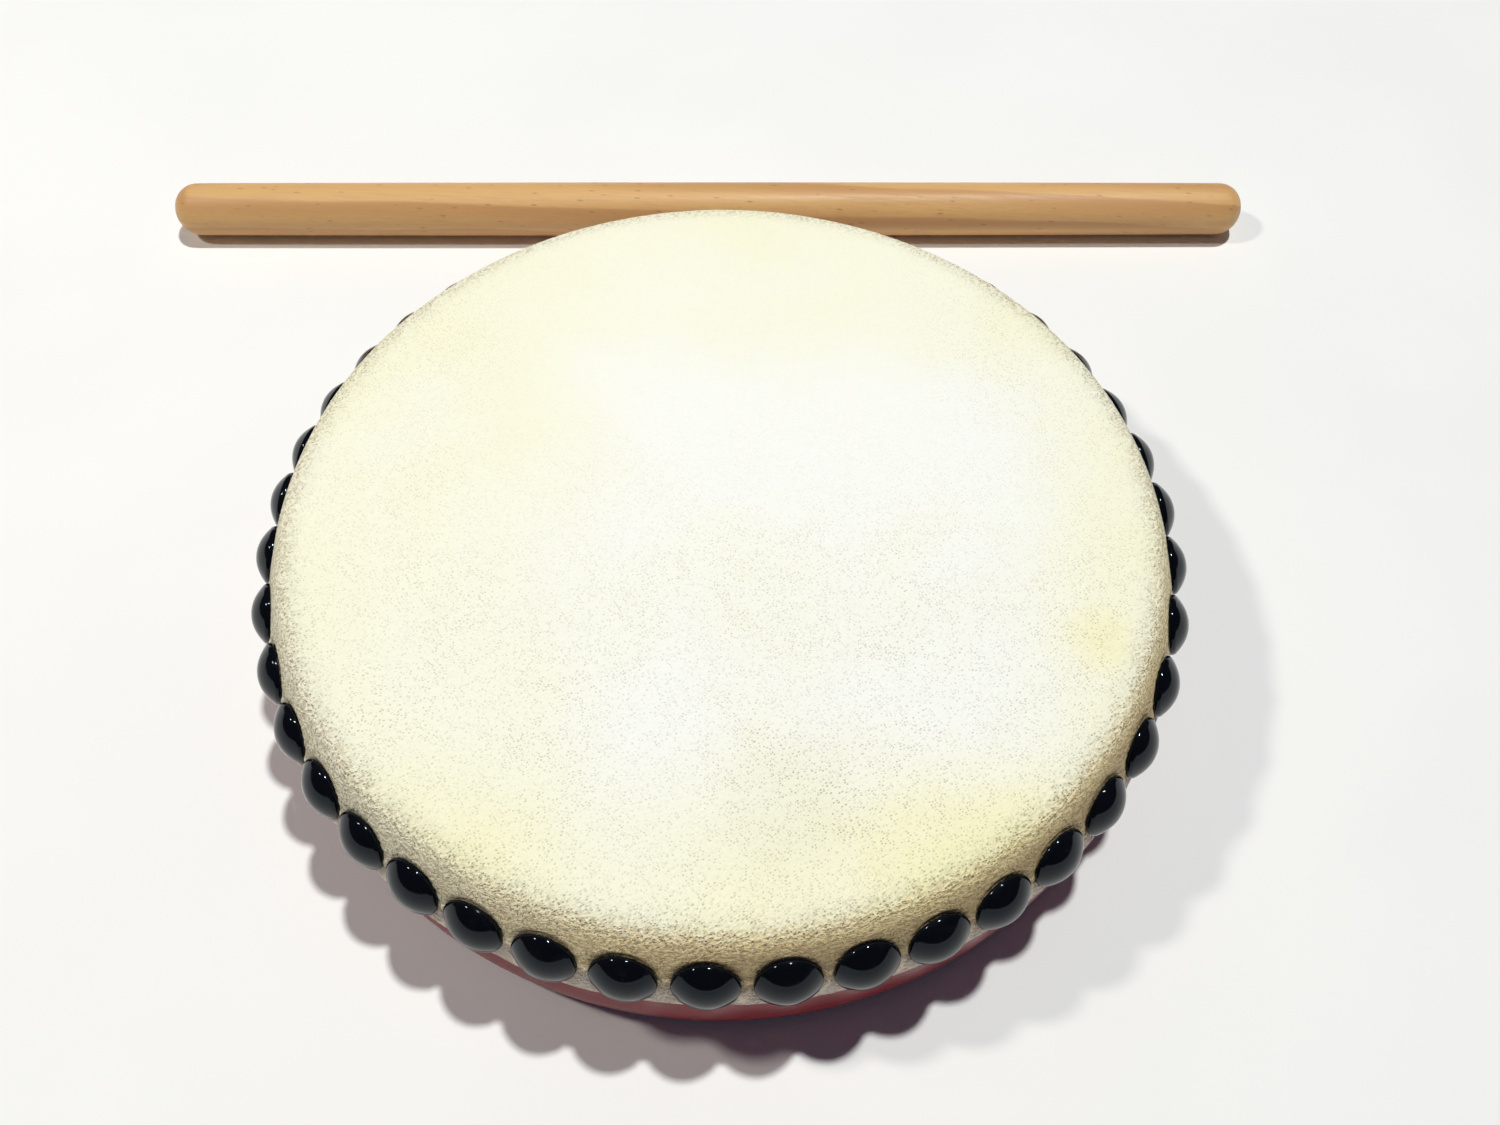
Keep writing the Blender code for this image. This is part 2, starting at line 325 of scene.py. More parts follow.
def push(piece, group, strength, direction="NORMAL", cloud=None, middle=0.0):
    """Move a piece's points by a group's weights, evenly or by clouds of a given size."""
    move = piece.modifiers.new(group, "DISPLACE")
    move.vertex_group = group
    move.strength = strength
    move.direction = direction
    move.mid_level = middle
    if cloud:
        move.texture = bpy.data.textures.new(group, "CLOUDS")
        move.texture.noise_scale = cloud
        move.texture_coords = "LOCAL"
    bpy.ops.object.modifier_apply(modifier=move.name)


def fade(value, start, end):
    """0 before start, 1 after end, and a smooth change between them."""
    share = min(max((value - start) / (end - start), 0), 1)
    return share * share * (3 - 2 * share)


tack_z = tack_height - DRUM_HEIGHT
edge_z = edge_height - DRUM_HEIGHT


def crease_weight(place):
    from_row = (place.z - tack_z) / 0.0009
    between = (1 - math.cos(math.tau * past_nearest(place.x, place.y))) / 2
    return between * math.exp(-from_row * from_row)


def dent_weight(place):
    in_section = Vector((math.hypot(place.x, place.y), place.z + DRUM_HEIGHT))
    if (in_section - side_centre).length < SIDE_RADIUS + GAP + HIDE_THICKNESS / 2:
        return 0
    along = past_nearest(place.x, place.y) * math.tau * in_section.x / TACKS
    across = math.radians(angle_to(side_centre, in_section) - tack_angle) * SIDE_RADIUS
    return fade(-math.hypot(along, across), -TACK_RADIUS - 0.0006, -TACK_RADIUS + 0.0002)


weigh(hide, "dent", dent_weight)
weigh(hide, "crease", crease_weight)
weigh(hide, "curl", lambda place: fade(tack_z - place.z, 0.001, tack_z - edge_z))
weigh(hide, "cut_edge", lambda place: fade(edge_z + 0.004 - place.z, 0, 0.004))
weigh(hide, "slack", lambda place: 1)
push(hide, "dent", -0.0005)
push(hide, "crease", 0.00035)
push(hide, "curl", 0.0011, cloud=0.011, middle=0.35)
push(hide, "cut_edge", 0.0018, direction="Z", cloud=0.016, middle=0.5)
push(hide, "slack", 0.0003, cloud=0.045, middle=0.5)
print("the cut edge is about", round(1000 * edge_height, 1), "mm above the rim")

# %% [markdown]
# ## One tack
#
# The tacks are stamped caps on a round shank. The dome isn't part of a ball: it is nearly flat on top
# and falls off ever faster outwards. A power curve gives that shape. Where the sheet was folded over,
# it rolls into an upright skirt, and that roll is what catches the lamps. The skirt's lower edge is
# pressed into the hide's dent. Under the cap there is a shallow cup, and the shank ends in a point.
#
# The points crowd together near the edge, because the curve is steepest there.

# %% Draw and turn one tack
CAP_HEIGHT = 0.0041
CUP_DEPTH = 0.0012
SHANK_RADIUS = 0.0011
POINT_LENGTH = 0.0028
SHANK_LENGTH = 0.01186
FULLNESS = 2.1
ROLL = 0.0015
ROLL_START = 49
SKIRT = 0.00042
LIP = 0.00012

fold_middle = Vector((TACK_RADIUS - ROLL, 0))
fold_start = on_circle(fold_middle, ROLL, ROLL_START)
tack_section = []
for i in range(18):
    share = math.sin(math.radians(90) * i / 18)
    height = fold_start.y + (CAP_HEIGHT - fold_start.y) * (1 - share ** FULLNESS)
    tack_section.append(Vector((fold_start.x * share, height)))
tack_section += arc(fold_middle, ROLL, ROLL_START, 0, 6)
tack_section += arc(Vector((TACK_RADIUS - LIP, LIP - SKIRT)), LIP, 0, -90, 3)
cup = [(0.0070, -0.0001), (0.0055, 0.0006), (0.0040, 0.0010), (0.0024, CUP_DEPTH)]
tack_section += [Vector(point) for point in cup]
tack_section.append(Vector((SHANK_RADIUS, CUP_DEPTH)))
tack_section.append(Vector((SHANK_RADIUS, POINT_LENGTH - SHANK_LENGTH)))
tack_section.append(Vector((0, -SHANK_LENGTH)))

tack = draw_line("tack_model", [Vector((point.x, 0, point.y)) for point in tack_section])
spin_round(tack, (0, 0, 0), (0, 0, 1), 48)

# %% [markdown]
# ## The row of tacks
#
# The tack was modelled once and is now copied. Each copy has its own mesh, whose points are moved to
# their place, so that the object itself stays at the origin. The caps point square out of the
# leaning side. A hammer never hits quite true, so each one leans by up to a degree of its own.

# %% Copy the tack round the drum
flattest = on_circle(side_centre, SIDE_RADIUS + hide_outside, tack_angle).x / math.cos(math.radians(tack_angle))
seat_height = GAP - TACK_RADIUS ** 2 / (2 * flattest)
seat = on_circle(side_centre, SIDE_RADIUS + hide_outside + seat_height, tack_angle)
hammer = random.Random(42)
tack_row = []
for number in range(TACKS):
    around = Matrix.Rotation(tack_turn(number), 4, "Z")
    out = Matrix.Translation((seat.x, 0, seat.y - DRUM_HEIGHT))
    square = Matrix.Rotation(math.radians(90 - tack_angle + hammer.uniform(-1.2, 1.2)), 4, "Y")
    askew = Matrix.Rotation(math.radians(hammer.uniform(-1.2, 1.2)), 4, "X")
    spun = Matrix.Rotation(hammer.uniform(0, math.tau), 4, "Z")
    copy = tack.copy()
    copy.data = tack.data.copy()
    copy.name = f"tack_cap_{number + 1:02d}"
    copy.data.name = copy.name
    copy.data.transform(around @ out @ square @ askew @ spun)
    bpy.context.collection.objects.link(copy)
    tack_row.append(copy)
bpy.data.objects.remove(tack)
print(len(tack_row), "tacks set, seats", round(1000 * seat.x, 1), "mm from the middle")

# %% [markdown]
# ## The stick
#
# A plain round stick with rounded ends could be a capsule. The real one was shaped by hand, so it is
# a hair thicker in the middle, and its ends are a little blunter than half a ball. Its line is drawn
# where it lies and spun round its own axis, along X.

# %% Draw and turn the stick
STICK_LENGTH = 0.3807
STICK_RADIUS = 0.0092
END_LENGTH = 0.0085
TAPER = 0.0003
stick_middle = Vector((-0.0040, BELLY_RADIUS + 0.0329 + STICK_RADIUS, STICK_RADIUS - DRUM_HEIGHT))


def stick_radius(along):
    """How thick the straight part is at a distance from the middle."""
    return STICK_RADIUS - TAPER * (along / (STICK_LENGTH / 2)) ** 2


straight = STICK_LENGTH / 2 - END_LENGTH
end_radius = stick_radius(straight)
outline = []
for i in range(13):
    opening = math.radians(90) * i / 12
    outline.append((straight + END_LENGTH * math.cos(opening) ** 0.92, end_radius * math.sin(opening)))
for i in range(1, 20):
    along = straight * (1 - i / 20)
    outline.append((along, stick_radius(along)))
outline += [(0, STICK_RADIUS)] + [(-along, radius) for along, radius in reversed(outline)]
stick = draw_line("stick_turned", [stick_middle + Vector((-along, 0, radius)) for along, radius in outline])
spin_round(stick, stick_middle, (1, 0, 0), 72)

# %% [markdown]
# ## Small helpers for finishes
#
# A finish is a tree of nodes. Written out in full, each node takes several lines, and the idea gets
# lost. These helpers add one node each and return its output, so that a finish reads like a recipe:
# noise goes through a fade, the fade mixes two colours. An input that is given a plain number or
# colour is set, and one that is given another node's output is linked.

# %% Small helpers for finishes
def put(tree, kind, inputs=(), **settings):
    """Add a node, set it up, and set or link its inputs."""
    made = tree.nodes.new("ShaderNode" + kind)
    for name, value in settings.items():
        setattr(made, name, value)
    for name, value in dict(inputs).items():
        if isinstance(value, bpy.types.NodeSocket):
            tree.links.new(value, made.inputs[name])
        else:
            made.inputs[name].default_value = value
    return made


def calc(tree, operation, *values, clamp=False):
    """A sum on one to three numbers."""
    return put(tree, "Math", dict(enumerate(values)), operation=operation, use_clamp=clamp).outputs[0]


def fades(tree, value, start, end, low=0.0, high=1.0):
    """The value's smooth change from low to high while it goes from start to end."""
    sockets = {"Value": value, "From Min": start, "From Max": end, "To Min": low, "To Max": high}
    return put(tree, "MapRange", sockets, interpolation_type="SMOOTHSTEP").outputs["Result"]


def mixed(tree, share, first, second, way="MIX"):
    """Two colours mixed by a share."""
    made = put(tree, "Mix", {0: share, 6: first, 7: second}, data_type="RGBA", blend_type=way)
    return made.outputs[2]


def noise(tree, place, scale, detail=2.0, roughness=0.5):
    sockets = {"Vector": place, "Scale": scale, "Detail": detail, "Roughness": roughness}
    return put(tree, "TexNoise", sockets).outputs["Fac"]


def cells(tree, place, scale, scatter=1.0):
    """A Voronoi node: distance to the nearest of many scattered points, and a colour for each."""
    return put(tree, "TexVoronoi", {"Vector": place, "Scale": scale, "Randomness": scatter})


def stretched(tree, place, scale):
    return put(tree, "Mapping", {"Vector": place, "Scale": scale}).outputs["Vector"]


def bumped(tree, height, depth, strength=1.0):
    """A normal from a height between 0 and 1 that stands for a depth in metres."""
    return put(tree, "Bump", {"Height": height, "Distance": depth, "Strength": strength}).outputs["Normal"]


def new_finish(name, preview):
    """A new material, its tree, its shader and the place of each point on the piece."""
    finish = bpy.data.materials.new(name)
    finish.use_nodes = True
    finish.diffuse_color = preview
    tree = finish.node_tree
    place = put(tree, "TexCoord").outputs["Object"]
    return finish, tree, tree.nodes["Principled BSDF"], place


# %% [markdown]
# ## Groups that several finishes share
#
# Wood shows on the stick and inside the shell, so its grain is one group. Rings are the distance from
# the middle of the tree, which lies outside the piece, with a slow wobble. Fibres are noise stretched
# a long way along X, and flecks are the short dark dashes that beech has.
#
# The second group is a soft spot: a round patch with a ragged border, for stains in the hide.

# %% Build the shared groups
def new_group(name, numbers, outputs):
    """A shader group with a vector input, number inputs and number outputs."""
    group = bpy.data.node_groups.new(name, "ShaderNodeTree")
    group.interface.new_socket("Place", in_out="INPUT", socket_type="NodeSocketVector")
    for label, value in numbers.items():
        socket = group.interface.new_socket(label, in_out="INPUT", socket_type="NodeSocketFloat")
        socket.default_value = value
    for label in outputs:
        group.interface.new_socket(label, in_out="OUTPUT", socket_type="NodeSocketFloat")
    return group, group.nodes.new("NodeGroupInput"), group.nodes.new("NodeGroupOutput")


wood, given, result = new_group(
    "wood_grain",
    {"Ring Width": 0.004, "Across": 0.05, "Below": 0.05, "Wobble": 0.004},
    ("Rings", "Fibres", "Flecks"))
long_way = stretched(wood, given.outputs["Place"], (0.12, 1, 1))
wander = calc(wood, "SUBTRACT", noise(wood, long_way, 40, 3), 0.5)
parts = put(wood, "SeparateXYZ", {"Vector": given.outputs["Place"]}).outputs
from_pith_y = calc(wood, "ADD", parts["Y"], given.outputs["Across"])
from_pith_z = calc(wood, "ADD", parts["Z"], given.outputs["Below"])
squares = calc(wood, "ADD", calc(wood, "POWER", from_pith_y, 2), calc(wood, "POWER", from_pith_z, 2))
from_pith = calc(wood, "MULTIPLY_ADD", wander, given.outputs["Wobble"], calc(wood, "SQRT", squares))
year = calc(wood, "FRACT", calc(wood, "DIVIDE", from_pith, given.outputs["Ring Width"]))
late_wood = calc(wood, "MULTIPLY", fades(wood, year, 0.25, 0.88), fades(wood, year, 1.0, 0.9))
wood.links.new(late_wood, result.inputs["Rings"])
fibre_way = stretched(wood, given.outputs["Place"], (0.03, 1, 1))
wood.links.new(noise(wood, fibre_way, 2200, 3, 0.6), result.inputs["Fibres"])
fleck_way = stretched(wood, given.outputs["Place"], (0.28, 1, 1))
fleck = cells(wood, fleck_way, 900)
dark_ones = calc(wood, "GREATER_THAN", put(wood, "SeparateColor", {0: fleck.outputs["Color"]}).outputs[0], 0.90)
dash = calc(wood, "MULTIPLY", fades(wood, fleck.outputs["Distance"], 0.42, 0.12), dark_ones)
wood.links.new(dash, result.inputs["Flecks"])

spot, given, result = new_group("soft_spot", {"X": 0.0, "Y": 0.0, "Size": 0.02}, ("Mask",))
centre = put(spot, "CombineXYZ", {"X": given.outputs["X"], "Y": given.outputs["Y"]}).outputs["Vector"]
away = put(spot, "VectorMath", {0: given.outputs["Place"], 1: centre}, operation="DISTANCE").outputs["Value"]
ragged = calc(spot, "MULTIPLY_ADD", noise(spot, given.outputs["Place"], 70, 4, 0.6), 0.9, 0.55)
share = calc(spot, "DIVIDE", calc(spot, "MULTIPLY", away, ragged), given.outputs["Size"])
spot.links.new(fades(spot, share, 1.0, 0.15), result.inputs["Mask"])


def grouped(tree, group, inputs):
    made = put(tree, "Group", node_tree=group)
    for name, value in inputs.items():
        if isinstance(value, bpy.types.NodeSocket):
            tree.links.new(value, made.inputs[name])
        else:
            made.inputs[name].default_value = value
    return made.outputs


print("groups:", wood.name, "and", spot.name)

# %% [markdown]
# ## Rawhide
#
# The skin is nearly white in the middle and turns yellow towards the shoulder, with a few stains of its own. Seen
# close, it is covered in hair pores: short pits in rows, all leaning one way, deep enough to show where the light
# grazes the shoulder. There the pits and the hollows between them also carry painted shade, and between the tacks at
# the front right painted shade darkens the skin towards brown. Below the shoulder it is greyer from handling.
#
# The colour is built in layers, from the largest marks to the smallest, and each layer reads the
# place on the drum, so that the pattern runs on over the shoulder without a seam.

# %% Rawhide: the large colours
rawhide, tree, shader, place = new_finish("rawhide", (0.86, 0.82, 0.68, 1))
parts = put(tree, "SeparateXYZ", {"Vector": place}).outputs
flat_place = put(tree, "CombineXYZ", {"X": parts["X"], "Y": parts["Y"]}).outputs["Vector"]
radius = put(tree, "VectorMath", {0: flat_place}, operation="LENGTH").outputs["Value"]

CREAM = (0.955, 0.960, 0.911, 1)
HONEY = (0.940, 0.900, 0.530, 1)
OLIVE = (0.955, 0.900, 0.680, 1)
GOLD = (0.950, 0.745, 0.370, 1)
HANDLED = (0.955, 0.800, 0.665, 1)
FLESH_SIDE = (0.560, 0.430, 0.270, 1)

STAINS = {
    "front": (0.016, -0.094, 0.044, 0.20),
    "front_edge": (0.056, -0.097, 0.034, 0.42),
    "right": (0.092, -0.041, 0.013, 0.34),
    "left": (-0.090, -0.020, 0.045, 0.12),
    "back_left": (-0.066, 0.074, 0.040, 0.10),
}
cloudy = noise(tree, place, 15, 4, 0.55)
warmth = calc(tree, "MULTIPLY", fades(tree, cloudy, 0.40, 0.72), 0.22)
left_half = fades(tree, parts["X"], -0.015, -0.058, 0.0, 0.26)
back_half = fades(tree, parts["Y"], 0.035, 0.068, 0.0, 0.26)
warmth = calc(tree, "ADD", warmth, calc(tree, "MAXIMUM", left_half, back_half))
warmth = calc(tree, "ADD", warmth, fades(tree, parts["X"], 0.066, 0.102, 0.0, 0.20))
warmth = calc(tree, "ADD", warmth, fades(tree, parts["Y"], -0.060, -0.096, 0.0, 0.28))
warmth = calc(tree, "ADD", warmth, fades(tree, radius, 0.082, 0.112, 0.0, 0.16))
for x, y, size, strength in STAINS.values():
    mask = grouped(tree, spot, {"Place": flat_place, "X": x, "Y": y, "Size": size})["Mask"]
    warmth = calc(tree, "MULTIPLY_ADD", mask, strength, warmth)
skin = mixed(tree, calc(tree, "MINIMUM", warmth, 1.0), CREAM, HONEY)

front_right = calc(tree, "MULTIPLY_ADD", parts["X"], 0.5, calc(tree, "MULTIPLY", parts["Y"], -0.87))
side_skin = mixed(tree, fades(tree, front_right, 0.035, 0.105), OLIVE, GOLD)
side_skin = mixed(tree, fades(tree, parts["Z"], -0.010, -0.017), side_skin, HANDLED)
# Painted shade: between the tacks and just above them, towards the front right, the hide is darkened towards brown.
above_tacks = calc(tree, "MULTIPLY", fades(tree, parts["Z"], -0.001, -0.006), fades(tree, parts["Z"], -0.019, -0.013))
painted_shade_by_tacks = calc(tree, "MULTIPLY", fades(tree, front_right, 0.080, 0.108, 0, 0.70), above_tacks)
side_skin = mixed(tree, painted_shade_by_tacks, side_skin, (0.52, 0.36, 0.19, 1))
ragged = calc(tree, "MULTIPLY_ADD", noise(tree, place, 700, 3, 0.6), 0.005, calc(tree, "SUBTRACT", radius, 0.0025))
on_side = fades(tree, ragged, 0.1098, 0.1156)
skin = mixed(tree, calc(tree, "MULTIPLY", on_side, 0.92), skin, side_skin)
print(len(STAINS), "stains")

# %% [markdown]
# The pores are Voronoi cells, turned and squeezed so that each one is a short slanting dash. A slow
# noise bends the rows. Every cell holds a pore, but they differ in depth, and only some are dark. The
# dark ones gather in patches, most of all in a smudge near the front where hands have rested. Specks
# are the same thing at forty times the spacing.

# %% Rawhide: pores and specks
bend = put(tree, "TexNoise", {"Vector": place, "Scale": 60.0, "Detail": 2.0}).outputs["Color"]
bent = put(tree, "VectorMath", {0: bend, 1: (0.004, 0.004, 0.004), 2: place}, operation="MULTIPLY_ADD")
slanted = put(tree, "Mapping", {"Vector": bent.outputs["Vector"], "Rotation": (0, 0, math.radians(-32))}).outputs["Vector"]
grain_place = stretched(tree, slanted, (0.70, 1, 1))
pore = cells(tree, grain_place, 1650, scatter=0.75)
pick = put(tree, "SeparateColor", {0: pore.outputs["Color"]}).outputs
pit = calc(tree, "MULTIPLY", fades(tree, pore.outputs["Distance"], 0.42, 0.08), fades(tree, pick[0], 0, 1, 0.35, 1))
sideways = fades(tree, calc(tree, "ABSOLUTE", parts["X"]), 0.035, 0.085, 0.0, 0.6)
worn = calc(tree, "MAXIMUM", fades(tree, parts["Y"], 0.045, -0.045, 0.08, 0.9), sideways)
patches = calc(tree, "MULTIPLY", worn, fades(tree, noise(tree, place, 30, 3), 0.35, 0.65, 0.55, 1.0))
smudge = grouped(tree, spot, {"Place": flat_place, "X": 0.016, "Y": -0.082, "Size": 0.026})["Mask"]
patches = calc(tree, "MULTIPLY_ADD", smudge, 0.35, patches)
dark_pore = calc(tree, "MULTIPLY", fades(tree, pore.outputs["Distance"], 0.40, 0.20), fades(tree, pick[1], 0.0, 1.0, 0.30, 1.0))
dark_pore = calc(tree, "MULTIPLY", dark_pore, patches)
speck = cells(tree, place, 42)
speck_pick = put(tree, "SeparateColor", {0: speck.outputs["Color"]}).outputs
speck_size = fades(tree, speck_pick[1], 0.2, 1.0, 0.004, 0.018)
speck_mask = calc(tree, "LESS_THAN", speck.outputs["Distance"], speck_size)

skin = mixed(tree, calc(tree, "MULTIPLY", smudge, 0.10), skin, (0.62, 0.60, 0.46, 1))
pebbles = noise(tree, grain_place, 1150, 3)
shoulder = calc(tree, "MULTIPLY", fades(tree, radius, 0.108, 0.113), fades(tree, parts["Z"], -0.018, -0.010, 0.25, 1.0))
# Painted shade: the pits are darkened towards brown, strongly on the shoulder where the light grazes and faintly on the
# face.
skin = mixed(tree, calc(tree, "MULTIPLY", pit, calc(tree, "MULTIPLY_ADD", shoulder, 0.75, 0.03)), skin, (0.50, 0.37, 0.18, 1))
skin = mixed(tree, calc(tree, "MULTIPLY", dark_pore, 0.62), skin, (0.34, 0.30, 0.22, 1))
# Painted shade: the hollows between the pebbles are darkened as well, most on the shoulder.
painted_valley_shade = calc(tree, "MULTIPLY", fades(tree, pebbles, 0.54, 0.38), calc(tree, "MULTIPLY_ADD", shoulder, 0.45, 0.02))
skin = mixed(tree, painted_valley_shade, skin, (0.44, 0.31, 0.15, 1))
skin = mixed(tree, calc(tree, "MULTIPLY", speck_mask, 0.75), skin, (0.12, 0.10, 0.08, 1))

inside_z = fades(tree, parts["Z"], -0.0006, -0.0009)
inside = calc(tree, "MULTIPLY", inside_z, fades(tree, radius, 0.1090, 0.1080))
fibrous = mixed(tree, fades(tree, noise(tree, place, 90, 6, 0.7), 0.35, 0.7), FLESH_SIDE, (0.72, 0.60, 0.42, 1))
skin = mixed(tree, inside, skin, fibrous)
tree.links.new(skin, shader.inputs["Base Color"])

# %% [markdown]
# Height comes last. The pits go down, noise squeezed the same way raises the skin between them into
# pebbles, and a coarser one makes it lie a little unevenly. On the level face this is faint, but it
# shows strongly on the shoulder, where the light grazes.

# %% Rawhide: relief and gloss
uneven = noise(tree, place, 260, 3)
height = calc(tree, "MULTIPLY_ADD", pit, -1.0, calc(tree, "MULTIPLY", uneven, 0.6))
height = calc(tree, "MULTIPLY_ADD", pebbles, 2.8, height)
depth_share = calc(tree, "MULTIPLY_ADD", worn, 0.32, fades(tree, radius, 0.104, 0.113, 0.0, 0.60))
tree.links.new(bumped(tree, height, 0.00050, depth_share), shader.inputs["Normal"])
tree.links.new(fades(tree, noise(tree, place, 120, 3), 0.3, 0.7, 0.50, 0.66), shader.inputs["Roughness"])
shader.inputs["Specular IOR Level"].default_value = 0.15
hide.data.materials.append(rawhide)

# %% [markdown]
# ## Red lacquer over wood
#
# The lacquer was brushed on the outside and the rim, and stops in an uneven line just inside. Where
# it stops, the bare turned wood begins. One finish holds both, and a mask chooses: how far a point is
# from the centre of the side's arc says whether it lies on the inner face of the wall.
#
# Brush marks run round the drum, so their noise is squeezed in height. The gloss is a coat of its
# own over a duller red.

# %% Red lacquer over wood
lacquer, tree, shader, place = new_finish("red_lacquer_on_wood", (0.30, 0.02, 0.025, 1))
parts = put(tree, "SeparateXYZ", {"Vector": place}).outputs
flat_place = put(tree, "CombineXYZ", {"X": parts["X"], "Y": parts["Y"]}).outputs["Vector"]
radius = put(tree, "VectorMath", {0: flat_place}, operation="LENGTH").outputs["Value"]
sideways = calc(tree, "SUBTRACT", radius, side_centre.x)
upwards = calc(tree, "SUBTRACT", parts["Z"], side_centre.y - DRUM_HEIGHT)
in_section = put(tree, "CombineXYZ", {"X": sideways, "Y": upwards}).outputs["Vector"]
from_centre = put(tree, "VectorMath", {0: in_section}, operation="LENGTH").outputs["Value"]
brush_end = calc(tree, "MULTIPLY_ADD", noise(tree, place, 55, 4, 0.6), 0.005, -0.0465)
above_brush = calc(tree, "GREATER_THAN", parts["Z"], brush_end)
inner_face = fades(tree, from_centre, SIDE_RADIUS - 0.0090, SIDE_RADIUS - 0.0110)
bare = calc(tree, "MULTIPLY", inner_face, above_brush)

brushed = noise(tree, stretched(tree, place, (1, 1, 22)), 60, 4, 0.6)
red = mixed(tree, fades(tree, brushed, 0.35, 0.70), (0.220, 0.009, 0.016, 1), (0.305, 0.014, 0.023, 1))
red = mixed(tree, fades(tree, noise(tree, place, 18, 3), 0.4, 0.7, 0, 0.5), red, (0.180, 0.008, 0.016, 1))
rubbed = calc(tree, "MULTIPLY", fades(tree, parts["Z"], -0.0508, -0.0518), fades(tree, noise(tree, place, 160, 5, 0.7), 0.52, 0.62))
red = mixed(tree, rubbed, red, (0.12, 0.02, 0.015, 1))

grain = grouped(tree, wood, {"Place": place, "Ring Width": 0.0075, "Across": 0.21, "Below": 0.12, "Wobble": 0.012})
tool_marks = noise(tree, stretched(tree, place, (1, 1, 30)), 70, 3)
timber = mixed(tree, grain["Rings"], (0.62, 0.42, 0.23, 1), (0.44, 0.26, 0.12, 1))
timber = mixed(tree, fades(tree, grain["Fibres"], 0.35, 0.7, 0, 0.35), timber, (0.40, 0.24, 0.12, 1))
timber = mixed(tree, fades(tree, tool_marks, 0.5, 0.7, 0, 0.25), timber, (0.34, 0.20, 0.10, 1))
tree.links.new(mixed(tree, bare, red, timber), shader.inputs["Base Color"])

gloss = fades(tree, brushed, 0.3, 0.7, 0.30, 0.42)
dull = fades(tree, grain["Fibres"], 0.3, 0.7, 0.62, 0.78)
roughness = calc(tree, "MULTIPLY_ADD", bare, calc(tree, "SUBTRACT", dull, gloss), gloss)
tree.links.new(roughness, shader.inputs["Roughness"])
tree.links.new(calc(tree, "MULTIPLY_ADD", bare, -0.12, 0.12), shader.inputs["Coat Weight"])
shader.inputs["Specular IOR Level"].default_value = 0.20
shader.inputs["Coat Roughness"].default_value = 0.14
relief = calc(tree, "MULTIPLY_ADD", bare, calc(tree, "MULTIPLY", tool_marks, 6.0), calc(tree, "MULTIPLY", brushed, 0.6))
relief = calc(tree, "MULTIPLY_ADD", noise(tree, place, 700, 2), 0.25, relief)
tree.links.new(bumped(tree, relief, 0.00005), shader.inputs["Normal"])
shell.data.materials.append(lacquer)

# %% [markdown]
# ## Black enamel
#
# Almost nothing of the enamel's own colour is seen. What makes it look wet and black is a clean
# mirror of the room, weak when seen straight on and strong at a glancing angle. So its base is nearly
# black, its roughness is low, and the rest is small faults: a faint ripple, some handling haze, and
# the odd grain of dust that dried in.

# %% Black enamel
enamel, tree, shader, place = new_finish("black_enamel", (0.01, 0.01, 0.012, 1))
haze = noise(tree, place, 260, 4, 0.6)
tree.links.new(mixed(tree, fades(tree, haze, 0.5, 0.8), (0.0028, 0.0036, 0.0056, 1), (0.0060, 0.0070, 0.0095, 1)),
               shader.inputs["Base Color"])
tree.links.new(fades(tree, haze, 0.35, 0.75, 0.045, 0.12), shader.inputs["Roughness"])
dust = cells(tree, place, 260)
grains = calc(tree, "LESS_THAN", dust.outputs["Distance"], 0.05)
ripple = calc(tree, "MULTIPLY", noise(tree, place, 380, 2), 0.5)
tree.links.new(bumped(tree, calc(tree, "ADD", ripple, grains), 0.00003), shader.inputs["Normal"])
shader.inputs["IOR"].default_value = 1.34
shader.inputs["Specular Tint"].default_value = (0.75, 0.88, 1.0, 1)
for cap in tack_row:
    cap.data.materials.clear()
    cap.data.materials.append(enamel)

# %% [markdown]
# ## Oiled beech
#
# The stick uses the shared grain with its rings set wide, because it was cut well away from the
# middle of the tree. The flecks are what tells beech from other pale woods, so they are kept dark,
# small and few.

# %% Oiled beech
beech, tree, shader, place = new_finish("oiled_beech", (0.66, 0.42, 0.20, 1))
moved = put(tree, "Mapping", {"Vector": place, "Rotation": (0, 0, math.radians(5)), "Location": (0, -stick_middle.y, -stick_middle.z)}).outputs["Vector"]
grain = grouped(tree, wood, {"Place": moved, "Ring Width": 0.0085, "Across": 0.022, "Below": 0.034, "Wobble": 0.010})
timber = mixed(tree, grain["Rings"], (0.750, 0.450, 0.180, 1), (0.600, 0.325, 0.130, 1))
timber = mixed(tree, fades(tree, grain["Fibres"], 0.40, 0.75, 0, 0.30), timber, (0.50, 0.27, 0.12, 1))
warm = fades(tree, noise(tree, stretched(tree, moved, (0.2, 1, 1)), 60, 2), 0.45, 0.7, 0, 0.35)
timber = mixed(tree, warm, timber, (0.64, 0.34, 0.15, 1))
timber = mixed(tree, calc(tree, "MULTIPLY", grain["Flecks"], 0.45), timber, (0.30, 0.13, 0.05, 1))
tree.links.new(timber, shader.inputs["Base Color"])
tree.links.new(fades(tree, grain["Fibres"], 0.3, 0.7, 0.40, 0.54), shader.inputs["Roughness"])
height = calc(tree, "MULTIPLY_ADD", grain["Flecks"], -0.6, grain["Fibres"])
tree.links.new(bumped(tree, height, 0.00004), shader.inputs["Normal"])
shader.inputs["Specular IOR Level"].default_value = 0.35
shader.inputs["Coat Weight"].default_value = 0.08
shader.inputs["Coat Roughness"].default_value = 0.35
stick.data.materials.append(beech)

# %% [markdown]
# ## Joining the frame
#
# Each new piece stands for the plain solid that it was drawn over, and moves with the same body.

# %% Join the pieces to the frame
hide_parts("shell")
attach(shell, "drum")
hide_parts("drumhead")
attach(hide, "drum")
for number, cap in enumerate(tack_row, start=1):
    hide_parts(f"tack_{number:02d}")
    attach(cap, "drum")
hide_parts("stick")
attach(stick, "stick")

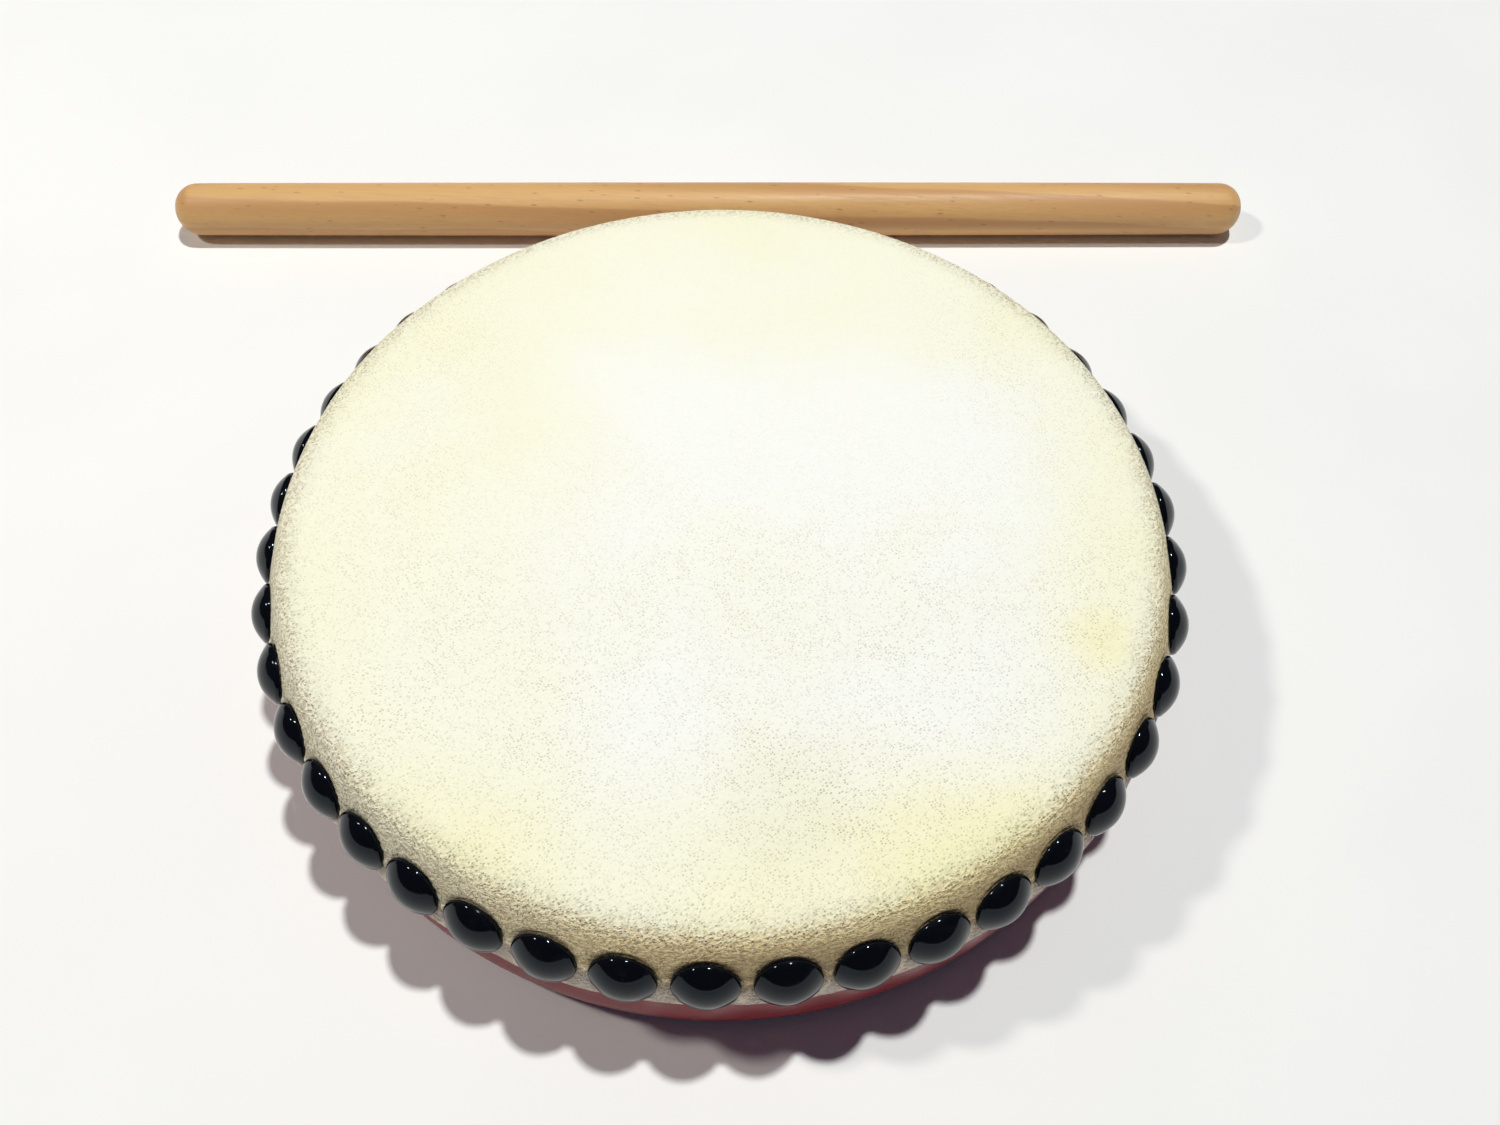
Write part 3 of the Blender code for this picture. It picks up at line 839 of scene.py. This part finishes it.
# %% [markdown]
# ## The table
#
# The drum lies on plain white paper. It only has to be pale and keep the shadows, so it is one large
# plane with a very faint mottle. Far from the drum the lamps don't reach. There the camera and
# mirrors see the paper at the pale level of the wall behind it, so that no horizon shows.

# %% The table
bpy.ops.object.select_all(action="DESELECT")
bpy.ops.mesh.primitive_plane_add(size=16, location=(0, 0, -DRUM_HEIGHT - 0.00002))
table = bpy.context.object
table.name = "table"
paper, tree, shader, place = new_finish("white_paper", (0.9, 0.9, 0.88, 1))
mottle = fades(tree, noise(tree, place, 9, 3), 0.35, 0.65)
tree.links.new(mixed(tree, mottle, (0.925, 0.925, 0.912, 1), (0.945, 0.945, 0.932, 1)), shader.inputs["Base Color"])
shader.inputs["Roughness"].default_value = 0.9
shader.inputs["Specular IOR Level"].default_value = 0.1


def seen_directly(tree):
    """1 for the rays of the camera, of mirrors and of glass, and 0 for those that light things."""
    ray = put(tree, "LightPath").outputs
    mirrored = calc(tree, "MAXIMUM", ray["Is Glossy Ray"], ray["Is Transmission Ray"])
    return calc(tree, "MAXIMUM", ray["Is Camera Ray"], mirrored)


PALE = (0.92, 0.92, 0.905, 1)
from_drum = put(tree, "VectorMath", {0: place}, operation="LENGTH").outputs["Value"]
far_away = calc(tree, "MULTIPLY", fades(tree, from_drum, 0.40, 1.20), seen_directly(tree))
plain = put(tree, "Emission", {"Color": PALE}).outputs[0]
blended = put(tree, "MixShader", {0: far_away, 1: shader.outputs[0], 2: plain}).outputs[0]
tree.links.new(blended, tree.nodes["Material Output"].inputs["Surface"])
table.data.materials.append(paper)

# %% [markdown]
# ## Light
#
# The shadows in the photograph tell where its lamps were. A strong one hangs nearly overhead, behind
# the drum and to its right: its shadow is the scalloped one towards the viewer. A weaker, warmer one
# stands at the left and throws the wide pale shadow on the right. Both are close enough for their
# shadows to spread and for the table to be brighter near them, so they are round lamps at real
# distances and not suns. A lamp's radius is how soft its shadow's edge is.
#
# The strengths add up so that white paper comes out just below white.

# %% Two lamps
def add_lamp(name, azimuth, elevation, distance, radius, watts, colour):
    """A round lamp, in a direction in degrees and at a distance from the table under the drum."""
    turn, lift = math.radians(azimuth), math.radians(elevation)
    towards = Vector((math.cos(lift) * math.cos(turn), math.cos(lift) * math.sin(turn), math.sin(lift)))
    place = towards * distance - Vector((0, 0, DRUM_HEIGHT))
    bpy.ops.object.light_add(type="POINT", location=place)
    lamp = bpy.context.object
    lamp.name = name
    lamp.data.shadow_soft_size = radius
    lamp.data.energy = watts
    lamp.data.color = colour
    print(name, "stands at", [round(side, 3) for side in place])


add_lamp("lamp_overhead", 43.5, 77.7, 2.466, 0.07, 177, (0.984, 1.0, 0.975))
add_lamp("lamp_left", 178.4, 53.0, 1.388, 0.055, 22.5, (1.0, 0.93, 0.86))

# %% [markdown]
# The rest of the room is dim. What the camera and a mirror see of it is a low pale wall all round and
# darkness above, which is what makes most of each tack black. The light that it gives to the drum is
# the same weak grey from all sides.

# %% The room
room = bpy.data.worlds.new("room")
bpy.context.scene.world = room
room.use_nodes = True
tree = room.node_tree
background = tree.nodes["Background"]
direction = put(tree, "TexCoord").outputs["Generated"]
height = put(tree, "SeparateXYZ", {"Vector": direction}).outputs["Z"]
wall_top = calc(tree, "MULTIPLY", put(tree, "LightPath").outputs["Is Camera Ray"], 0.16)
above_wall = fades(tree, height, wall_top, calc(tree, "ADD", wall_top, 0.08))
wall = mixed(tree, above_wall, PALE, (0.015, 0.018, 0.028, 1))
tree.links.new(mixed(tree, seen_directly(tree), (0.043, 0.050, 0.072, 1), wall), background.inputs["Color"])
bpy.context.scene.view_settings.view_transform = "Standard"
